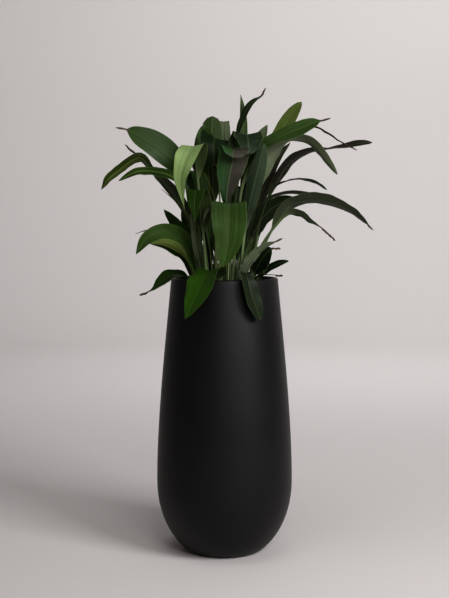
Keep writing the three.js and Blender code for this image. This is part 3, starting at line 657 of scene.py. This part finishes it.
# --------------------
# Leaves
# --------------------
POINTS_AROUND = 40
CROSS_SECTIONS = 96
MIDRIB_STEPS = 24  # between two points of a route
GATHERING = 1.5  # of a cross-section's points towards the midrib: 1 spreads them evenly
ROUNDING = 0.4  # how the two faces meet at an edge: 1 is sharp as a lens, 0 is square as a box
CREASE_DEPTH = 0.6  # of the channel over the midrib
CREASE_HALF_WIDTH = 2.8
SHRIVEL = 4  # how far a dried tip bends out of its line
WHIP_THICKNESS = 1.5  # of its half width
WHIP_WAVER = 0.45  # of its half width
EDGE_WAVER = 0.02  # of the half width, on every blade
RUFFLE_WAVER = 0.3  # share of a ruffle that shows in the outline too
SHAPE_SHIFT = 31.0  # between the random runs of two leaves
FLAT = (0, 0)  # the roll and the ruffle of a leaf that says nothing else
RUFFLE = 0.04
DRY_END = 0.015  # the brown very end of any blade
LEAF_SEED = 5

LEAF_INPUTS = {
    "Midrib": "Geometry",
    "Level": "Vector",
    "Width": "Float",
    "Stalk": "Float",
    "Widest": "Float",
    "Sharpness": "Float",
    "Whip": "Float",
    "Ruffle": "Float",
    "Dry": "Float",
    "Streak": "Float",
    "Number": "Float",
    "Finish": "Material",
}


def soil_height(x, y):
    share = math.hypot(x, y) / (RIM_RADIUS - WALL)
    return SOIL_LEVEL + SOIL_MOUND * (1 - share * share)


def smooth_route(route):
    """Points along the centripetal Catmull-Rom curve through the points of a route."""
    points = [2 * route[0] - route[1], *route, 2 * route[-1] - route[-2]]
    line = []
    for a, b, c, d in zip(points, points[1:], points[2:], points[3:]):
        before, here, after = (math.sqrt((q - p).length) for p, q in ((a, b), (b, c), (c, d)))
        leaving = ((b - a) / before - (c - a) / (before + here) + (c - b) / here) * here
        arriving = ((c - b) / here - (d - b) / (here + after) + (d - c) / after) * here
        for step in range(MIDRIB_STEPS):
            t = step / MIDRIB_STEPS
            line.append(
                b
                + leaving * t
                + (3 * (c - b) - 2 * leaving - arriving) * t**2
                + (2 * (b - c) + leaving + arriving) * t**3
            )
    return [*line, route[-1]]


def between(values, share):
    """The value at this share of the way through evenly spaced values."""
    at = min(max(share, 0), 1) * (len(values) - 1)
    before = min(int(at), len(values) - 2)
    return mix(values[before], values[before + 1], at - before)


def draw_midrib(name, leaf):
    """The midrib as a line from the root's end to the tip, with the blade's roll as its tilt, and
    the level direction straight across it."""
    foot = Vector((*leaf["foot"], soil_height(*leaf["foot"])))
    line = smooth_route([foot, *(Vector(point) for point in leaf["route"])])
    distances = [0]
    for a, b in zip(line, line[1:]):
        distances.append(distances[-1] + (b - a).length)
    rolls = []
    for distance in distances:
        share = (distance / distances[-1] - leaf["stalk"]) / (1 - leaf["stalk"])
        rolls.append(math.radians(between(leaf.get("roll", FLAT), share)))
    root = foot - (line[1] - line[0]).normalized() * ROOT_DEPTH
    curve = bpy.data.curves.new(name, "CURVE")
    curve.dimensions = "3D"
    spline = curve.splines.new("POLY")
    spline.points.add(len(line))
    for point, at, roll in zip(spline.points, [root, *line], [rolls[0], *rolls]):
        point.co = (*(at * MM), 1)
        point.tilt = roll
    midrib = bpy.data.objects.new(name, curve)
    bpy.context.collection.objects.link(midrib)
    outwards = (line[-1] - line[0]) * Vector((1, 1, 0))
    return midrib, UP.cross(outwards).normalized()


def waver(n, leaf, along_scale, seed, across_scale=0.0):
    """A smooth random run along the leaf, from about -1 to 1, which may differ on its two sides."""
    where = {
        "X": leaf.s * along_scale,
        "Y": leaf.on_right * across_scale,
        "Z": leaf.number * SHAPE_SHIFT + seed,
    }
    run = n.noise(n.add("ShaderNodeCombineXYZ", {}, where), 1.0, 1.0)
    return (run - 0.5) * 3.0


def leaf_half_width(n, leaf):
    """The stalk, then the lance of the blade with uneven edges, then its point or its whip."""
    on_blade = n.clamp(leaf.s / (1 - leaf.whip))
    fullness = leaf.widest * leaf.sharpness / (1 - leaf.widest)
    narrowing = ((1 - on_blade) / (1 - leaf.widest)) ** leaf.sharpness
    lance = (on_blade / leaf.widest) ** fullness * narrowing
    whipped = n.over(leaf.whip, 0.0) * (1 - n.smooth(leaf.s, 0.97, 1.0))
    whip = WHIP_HALF_WIDTH * MM * (1 + waver(n, leaf, 18.0, seed=9.0) * WHIP_WAVER)
    narrowest = mix(STALK_HALF_WIDTH * MM, mix(TIP_HALF_WIDTH * MM, whip, whipped), leaf.flare)
    uneven = waver(n, leaf, 9.0, seed=3.0, across_scale=5.0)
    uneven = uneven * (leaf.ruffle * RUFFLE_WAVER + EDGE_WAVER)
    return n.larger(narrowest, leaf.width * 0.5 * lance * (1 + uneven * leaf.flare))


def leaf_rise(n, leaf, y):
    """How high a point stands over the midrib's line: the fold, the waves and the thickness."""
    thick = mix(STALK_THICKNESS * MM, BLADE_THICKNESS * MM, leaf.flare)
    lift = leaf.half * n.math("SINE", leaf.fold)
    middle = (thick - lift * (1 - leaf.flare)) * 0.5

    waves = n.math("SINE", leaf.s * (2 * math.pi * WAVES) + leaf.on_right * WAVE_LAG)
    swell = leaf.half * leaf.reach * leaf.reach
    wave = swell * WAVE_HEIGHT * waves * n.math("SINE", leaf.s * math.pi)
    ruffle = swell * leaf.ruffle * waver(n, leaf, 7.0, seed=17.0, across_scale=5.0) * leaf.flare

    on_whip = n.smooth(leaf.s, 1 - leaf.whip, 1.0 - leaf.whip * 0.9) * n.over(leaf.whip, 0.0)
    thick = n.larger(thick, on_whip * leaf.half * WHIP_THICKNESS)
    depth = mix(EDGE_THICKNESS * MM, thick, (1 - leaf.reach * leaf.reach) ** THINNING)
    face = n.math("SIGN", y) * n.size(y) ** ROUNDING

    crease = n.smooth(leaf.reach * leaf.half, CREASE_HALF_WIDTH * MM, 0.0)
    crease = crease * n.smooth(leaf.s, 0.02, 0.2) * (1 - n.smooth(leaf.s, 0.8, 1.0))
    rise = middle + lift * leaf.reach**DISH + wave + ruffle + depth * 0.5 * (face - 1)
    return rise - crease * (CREASE_DEPTH * MM)


def place_on_midrib(n, leaf, rise):
    """Where a point of the tube goes, beside and over the midrib, rolled with the blade."""
    spine = n.add(
        "GeometryNodeSampleCurve",
        {"mode": "FACTOR", "use_all_curves": True},
        {
            "Curves": leaf.midrib,
            "Value": n.add("GeometryNodeInputCurveTilt"),
            "Factor": leaf.from_root,
        },
    )
    roll, at, tangent = spine.other("Value"), spine.other("Position"), spine.other("Tangent")
    side = n.math("NORMALIZE", leaf.level - tangent * n.dot(leaf.level, tangent))
    face = n.math("CROSS_PRODUCT", tangent, side)
    rolled_side = side * n.math("COSINE", roll) - face * n.math("SINE", roll)
    rolled_face = face * n.math("COSINE", roll) + side * n.math("SINE", roll)
    shrivel = n.smooth(leaf.s, 1 - leaf.dry, 1.0) * (SHRIVEL * MM)
    at = at + rolled_face * (waver(n, leaf, 16.0, seed=23.0) * shrivel)
    at = at + rolled_side * (waver(n, leaf, 13.0, seed=29.0) * shrivel)
    beside = leaf.across * leaf.half * n.math("COSINE", leaf.fold)
    return at + rolled_side * beside + rolled_face * rise


def leaf_tree():
    """Wraps a closed tube round a midrib: a channelled stalk that opens out into a thin blade."""
    tree, n, leaf = new_tree("leaf", LEAF_INPUTS, "Leaf")
    shape = n.add(
        "GeometryNodeMeshCylinder",
        {"fill_type": "NGON"},
        {"Vertices": POINTS_AROUND, "Side Segments": CROSS_SECTIONS, "Radius": 1.0, "Depth": 1.0},
    )
    x, y, z = n.add("GeometryNodeInputPosition").parts()
    leaf.from_root = z + 0.5
    length = n.add("GeometryNodeCurveLength", {}, {"Curve": leaf.midrib})
    root = ROOT_DEPTH * MM
    from_soil = n.clamp((leaf.from_root * length - root) / (length - root))
    along = (from_soil - leaf.stalk) / (1 - leaf.stalk)
    leaf.s = n.clamp(along)  # 0 at the blade's base, 1 at its tip
    leaf.flare = n.smooth(leaf.s, 0.0, FLARE)  # 0 on the stalk, 1 on the blade
    leaf.fold = mix(math.radians(STALK_FOLD), math.radians(BLADE_FOLD), leaf.flare)
    leaf.reach = n.size(x) ** GATHERING  # 0 at the midrib, 1 at either edge
    leaf.across = leaf.reach * n.math("SIGN", x)
    leaf.on_right = n.over(leaf.across, 0.0)
    leaf.half = leaf_half_width(n, leaf)

    marks = {
        "across": leaf.across,
        "along": along,
        "underside": n.smooth(y, 0.02, -0.02),
        "half_width": leaf.half,
        "dry": leaf.dry,
        "streak": leaf.streak,
        "leaf": leaf.number,
    }
    for name, value in marks.items():
        shape = n.add(
            "GeometryNodeStoreNamedAttribute",
            {"data_type": "FLOAT", "domain": "POINT"},
            {"Geometry": shape, "Name": name, "Value": value},
        )
    place = place_on_midrib(n, leaf, leaf_rise(n, leaf, y))
    shape = n.add("GeometryNodeSetPosition", {}, {"Geometry": shape, "Position": place})
    shape = n.add("GeometryNodeSetShadeSmooth", {}, {"Geometry": shape, "Shade Smooth": True})
    finish_tree(n, shape, leaf.finish)
    return tree


def make_leaves():
    finishes = {name: leaf_finish(f"{name}_leaf", **tint) for name, tint in TINTS.items()}
    tree = leaf_tree()
    chance = random.Random(LEAF_SEED)
    growing = []
    for side, leaves in LEAVES.items():
        for i, leaf in enumerate(leaves, start=1):
            midrib, level = draw_midrib(f"midrib_{side}_{i}", leaf)
            widest, sharpness = leaf.get("shape", LANCE)
            whip = leaf.get("whip", 0.0)
            grow(midrib, tree, {
                "Level": level,
                "Width": leaf["width"] * MM,
                "Stalk": float(leaf["stalk"]),
                "Widest": float(widest),
                "Sharpness": float(sharpness),
                "Whip": float(whip),
                "Ruffle": float(leaf.get("ruffle", RUFFLE)),
                "Dry": float(leaf.get("dry", whip * 1.1 + DRY_END)),
                "Streak": float(leaf.get("streak", 0)),
                "Number": chance.random(),
                "Finish": finishes[leaf["tint"]],
            })
            growing.append((f"{side}_{i}", midrib))
    for name, midrib in growing:
        piece = settle(f"blade_{name}", midrib)
        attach(piece, "root")
        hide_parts(f"leaf_{name}")


# --------------------
# Planter and soil
# --------------------
ROUND_SIDES = 144
WALL_STEPS = 28
LIP_STEPS = 10

SOIL_STEPS = 14  # from the wall to the middle
SOIL_LUMPS = (-2.2, 1.8)  # how far its surface sinks and rises
SOIL_CRUST = 4  # how far under its level the lumps reach
SOIL_SEED = 11

CRUMBS = 14000.0  # in a square metre
CRUMB_RADII = (1.2, 4.2)
CRUMB_HEIGHT = 0.7  # of its width
CRUMB_DENTS = 4  # their size
CRUMB_DENT_SCALE = 260.0
CRUMB_TURN = 6.28  # once round, in radians
CRUMB_SEED = 4
CRUMB_INPUTS = {
    "Ground": "Geometry",
    "Density": "Float",
    "Smallest": "Float",
    "Largest": "Float",
    "Seed": "Int",
    "Finish": "Material",
}


def bezier(a, b, c, d, t):
    return a * (1 - t) ** 3 + b * 3 * t * (1 - t) ** 2 + c * 3 * t**2 * (1 - t) + d * t**3


def wall_outline(inset):
    """The wall's outline moved inwards, from the foot to the rim."""
    foot = Vector((FOOT_RADIUS, 0))
    belly = Vector((BELLY_RADIUS, BELLY_HEIGHT))
    rim = Vector((RIM_RADIUS, PLANTER_HEIGHT - WALL / 2))
    curves = [
        (foot, Vector(FOOT_BEND), belly - Vector((0, BELLY_BEND_BELOW)), belly),
        (belly, belly + Vector((0, BELLY_BEND_ABOVE)), Vector(RIM_BEND), rim),
    ]
    outline = []
    for half, curve in enumerate(curves):
        for i in range(half, WALL_STEPS + 1):
            t = i / WALL_STEPS
            ahead = bezier(*curve, min(1, t + 0.001)) - bezier(*curve, max(0, t - 0.001))
            inwards = Vector((-ahead.y, ahead.x)).normalized()
            outline.append(bezier(*curve, t) + inwards * inset)
    return outline


def turned(name, profile):
    """A closed body turned about the vertical: its profile starts and ends on the axis."""
    points = [(0, 0, profile[0].y * MM)]
    for at in profile[1:-1]:
        for k in range(ROUND_SIDES):
            turn = 2 * math.pi * k / ROUND_SIDES
            points.append((at.x * MM * math.cos(turn), at.x * MM * math.sin(turn), at.y * MM))
    points.append((0, 0, profile[-1].y * MM))
    faces = []
    rows = len(profile) - 2
    for k in range(ROUND_SIDES):
        after = (k + 1) % ROUND_SIDES
        faces.append((0, 1 + after, 1 + k))
        for row in range(rows - 1):
            low, high = 1 + row * ROUND_SIDES, 1 + (row + 1) * ROUND_SIDES
            faces.append((low + k, low + after, high + after, high + k))
        last = 1 + (rows - 1) * ROUND_SIDES
        faces.append((last + k, last + after, len(points) - 1))
    mesh = bpy.data.meshes.new(name)
    mesh.from_pydata(points, [], faces)
    mesh.shade_smooth()
    piece = bpy.data.objects.new(name, mesh)
    bpy.context.collection.objects.link(piece)
    return piece


def make_planter():
    lip = []
    for i in range(1, LIP_STEPS):
        turn = math.pi * i / LIP_STEPS
        lip.append(Vector((
            RIM_RADIUS - WALL / 2 + WALL / 2 * math.cos(turn),
            PLANTER_HEIGHT - WALL / 2 + WALL / 2 * math.sin(turn),
        )))
    inside = wall_outline(WALL)[::-1]
    profile = [Vector((0, 0)), *wall_outline(0), *lip, *inside, Vector((0, inside[-1].y))]
    piece = turned("planter_shell", profile)
    piece.data.materials.append(planter_finish())
    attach(piece, "root")
    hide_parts("planter")


def crumb_tree():
    """Scatters crumbs of soil over what faces up of a surface."""
    tree, n, given = new_tree("crumbs", CRUMB_INPUTS, "Crumbs")
    _, _, up = n.add("GeometryNodeInputNormal").parts()
    points = n.add(
        "GeometryNodeDistributePointsOnFaces",
        {"distribute_method": "RANDOM"},
        {
            "Mesh": given.ground,
            "Selection": n.over(up, 0.5),
            "Density": given.density,
            "Seed": given.seed,
        },
    )
    size = n.add(
        "FunctionNodeRandomValue",
        {"data_type": "FLOAT"},
        {"Min": given.smallest, "Max": given.largest, "Seed": given.seed},
        "Value",
    )
    turn = n.add(
        "FunctionNodeRandomValue",
        {"data_type": "FLOAT_VECTOR"},
        {"Min": (0, 0, 0), "Max": [CRUMB_TURN] * 3, "Seed": given.seed},
        "Value",
    )
    crumbs = n.add(
        "GeometryNodeInstanceOnPoints",
        {},
        {
            "Points": points,
            "Instance": n.add("GeometryNodeMeshIcoSphere", {}, {"Radius": 1.0, "Subdivisions": 2}),
            "Rotation": turn,
            "Scale": size * Vector((1.0, 1.0, CRUMB_HEIGHT)),
        },
    )
    crumbs = n.add("GeometryNodeRealizeInstances", {}, {"Geometry": crumbs})
    dents = n.noise(n.add("GeometryNodeInputPosition"), CRUMB_DENT_SCALE, 1.0).other("Color")
    dents = (dents - Vector((0.5, 0.5, 0.5))) * (CRUMB_DENTS * MM)
    crumbs = n.add("GeometryNodeSetPosition", {}, {"Geometry": crumbs, "Offset": dents})
    finish_tree(n, crumbs, given.finish)
    return tree


def make_soil():
    finish = soil_finish()
    below = [at for at in wall_outline(WALL + SOIL_GAP) if at.y < SOIL_LEVEL]
    radii = [below[-1].x * (1 - i / SOIL_STEPS) for i in range(SOIL_STEPS + 1)]
    mound = [Vector((radius, soil_height(radius, 0))) for radius in radii]
    bed = turned("soil_bed", [Vector((0, below[0].y)), *below, *mound])
    chance = random.Random(SOIL_SEED)
    for point in bed.data.vertices:
        if point.co.z > (SOIL_LEVEL - SOIL_CRUST) * MM:
            point.co.z += chance.uniform(*SOIL_LUMPS) * MM
    bed.data.materials.append(finish)
    ground = bpy.data.objects.new("ground", bed.data.copy())
    bpy.context.collection.objects.link(ground)
    smallest, largest = CRUMB_RADII
    grow(ground, crumb_tree(), {
        "Density": CRUMBS,
        "Smallest": smallest * MM,
        "Largest": largest * MM,
        "Seed": CRUMB_SEED,
        "Finish": finish,
    })
    crumbs = settle("soil_crumbs", ground)
    for piece in (bed, crumbs):
        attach(piece, "root")
    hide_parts("soil")


# --------------------
# Camera, stage and light
# --------------------
CAMERA_AT = (0, -3.02, 0.958)  # metres
CAMERA_TILT = 85.82  # degrees up from looking straight down
CAMERA_LENS = 62.5
CAMERA_SENSOR = 36

FLOOR_RADIUS = 5200
SWEEP_RADIUS = 2200  # of the bend between floor and wall
SWEEP_STEPS = 12
STAGE_HEIGHT = 6500

SKY_COLOUR = (0.95, 0.97, 1, 1)
SKY_STRENGTH = 0.09

# Soft rectangular lights: where each is and what it points at, its width and height, all in
# metres, and its power in watts.
LIGHTS = {
    "window": dict(at=(2.35, -2.25, 2.4), towards=(0, 0, 0.8), size=(1.5, 1.5), power=124,
                   colour=(0.97, 0.98, 1)),
    "fill": dict(at=(0.65, -2.7, 1.9), towards=(0, 0, 0.8), size=(1.2, 0.5), power=27),
    "overhead": dict(at=(-0.3, -0.8, 3.6), towards=(0, 0, 0.9), size=(1.6, 1.6), power=22),
    "backdrop": dict(at=(1.2, 2.6, 4.4), towards=(1.2, 7.0, 1.4), size=(3.6, 1.0), power=225,
                     colour=(0.95, 0.98, 1)),
}


def set_camera():
    camera = bpy.data.objects.new("camera", bpy.data.cameras.new("camera"))
    camera.data.sensor_width = CAMERA_SENSOR
    camera.data.lens = CAMERA_LENS
    camera.location = CAMERA_AT
    camera.rotation_euler = (math.radians(CAMERA_TILT), 0, 0)
    bpy.context.collection.objects.link(camera)
    bpy.context.scene.camera = camera


def set_stage():
    """A pale floor that sweeps up into a pale wall all round, open at the top."""
    profile = [Vector((0, 0)), Vector((FLOOR_RADIUS / 2, 0)), Vector((FLOOR_RADIUS, 0))]
    for i in range(1, SWEEP_STEPS + 1):
        turn = math.pi / 2 * i / SWEEP_STEPS
        out, up = SWEEP_RADIUS * math.sin(turn), SWEEP_RADIUS * (1 - math.cos(turn))
        profile.append(Vector((FLOOR_RADIUS + out, up)))
    profile.append(Vector((FLOOR_RADIUS + SWEEP_RADIUS, STAGE_HEIGHT)))
    profile.append(Vector((0, STAGE_HEIGHT)))
    sweep = turned("studio_sweep", profile)
    body = bmesh.new()
    body.from_mesh(sweep.data)
    body.verts.ensure_lookup_table()
    bmesh.ops.delete(body, geom=[body.verts[-1]], context="VERTS")
    bmesh.ops.reverse_faces(body, faces=body.faces)
    body.to_mesh(sweep.data)
    body.free()
    sweep.data.materials.append(stage_finish())


def soft_light(name, at, towards, size, power, colour=(1, 1, 1)):
    lamp = bpy.data.lights.new(name, "AREA")
    lamp.shape = "RECTANGLE"
    lamp.size, lamp.size_y = size
    lamp.energy = power
    lamp.color = colour
    light = bpy.data.objects.new(name, lamp)
    light.location = at
    light.rotation_euler = (Vector(towards) - Vector(at)).to_track_quat("-Z", "Y").to_euler()
    bpy.context.collection.objects.link(light)


def set_light():
    world = bpy.data.worlds.new("studio")
    world.use_nodes = True
    background = world.node_tree.nodes["Background"]
    background.inputs["Color"].default_value = SKY_COLOUR
    background.inputs["Strength"].default_value = SKY_STRENGTH
    bpy.context.scene.world = world
    bpy.context.scene.view_settings.view_transform = "Standard"
    bpy.context.scene.view_settings.look = "Medium High Contrast"
    for name, light in LIGHTS.items():
        soft_light(name, **light)


set_camera()
set_stage()
set_light()
make_planter()
make_soil()
make_leaves()
